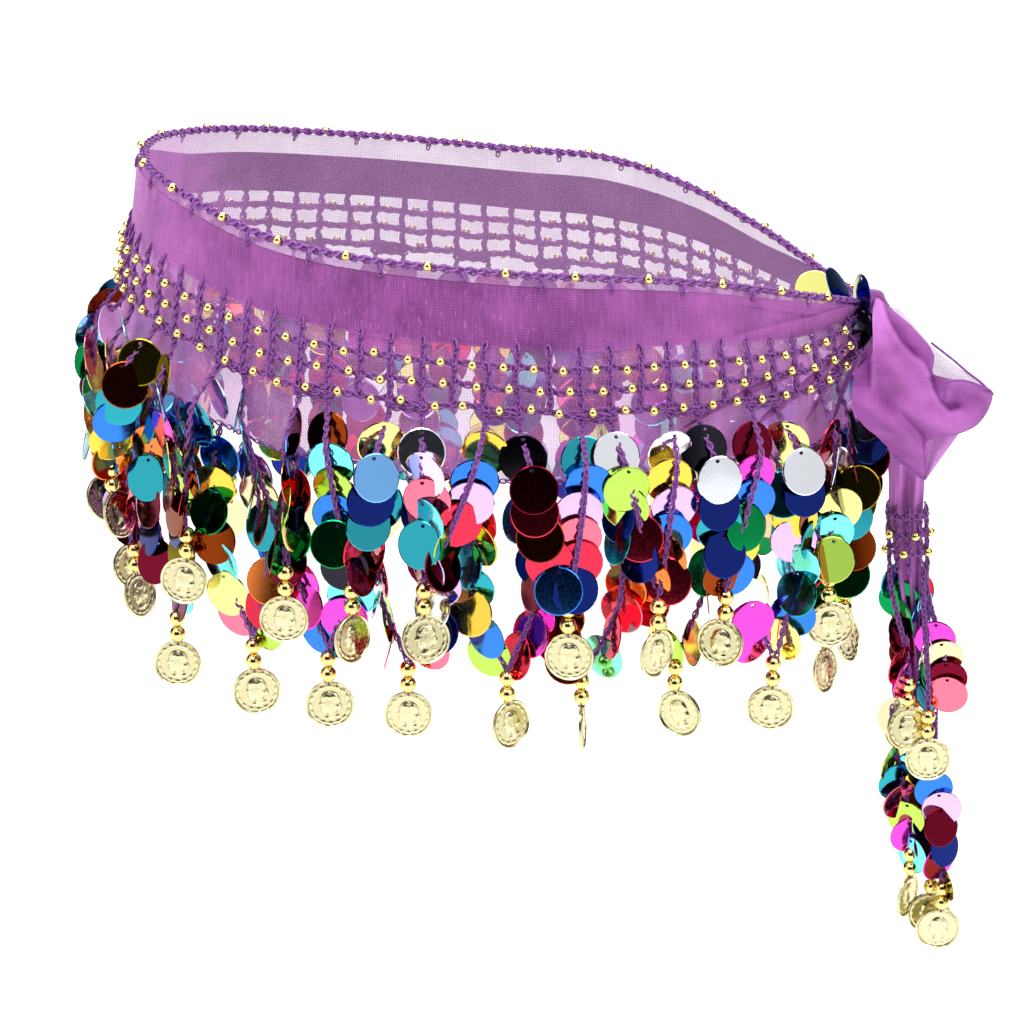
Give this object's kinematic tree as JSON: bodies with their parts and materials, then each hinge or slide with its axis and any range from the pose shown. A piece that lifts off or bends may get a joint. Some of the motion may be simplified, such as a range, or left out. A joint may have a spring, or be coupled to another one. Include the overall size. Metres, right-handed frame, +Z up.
{
  "type": "belly dance hip scarf",
  "caption": "Sheer hip scarf tied at one side, with a crocheted bead net below its doubled band, disc and coin fringe in tiers, and a hanging tail, shown as worn.",
  "frame": {"origin": "middle of the hips, level with the mean height of the scarf's top edge", "axes": "+Z up along the wearer's body, -Y to the front of the picture's view, +X to the side where the scarf is knotted"},
  "size_m": [0.4347, 0.287, 0.3987],
  "materials": {
    "chiffon": "sheer woven polyester chiffon",
    "chiffon_doubled": "chiffon folded double, opaque",
    "crochet": "crocheted rayon yarn, slightly shiny",
    "paillettes": "metallised mirror film in many colours",
    "gilt": "pale gilt on beads and stamped coins"
  },
  "bodies": {
    "root": {"chiffon_back": "chiffon", "chiffon_front": "chiffon", "band_back": "chiffon_doubled", "band_front": "chiffon_doubled", "edging_back": "crochet", "edging_front": "crochet", "net_back": "crochet", "net_front": "crochet", "fringe_upper_back": "paillettes", "fringe_upper_front": "paillettes", "fringe_lower_back": "paillettes", "fringe_lower_front": "paillettes", "knot": "chiffon_doubled", "knot_crown": "paillettes", "knot_strand": "paillettes", "wing": "chiffon", "tail_cloth": "chiffon", "tail_net": "crochet", "tail_fringe_upper": "paillettes", "tail_fringe_lower": "paillettes"}
  },
  "joints": []
}
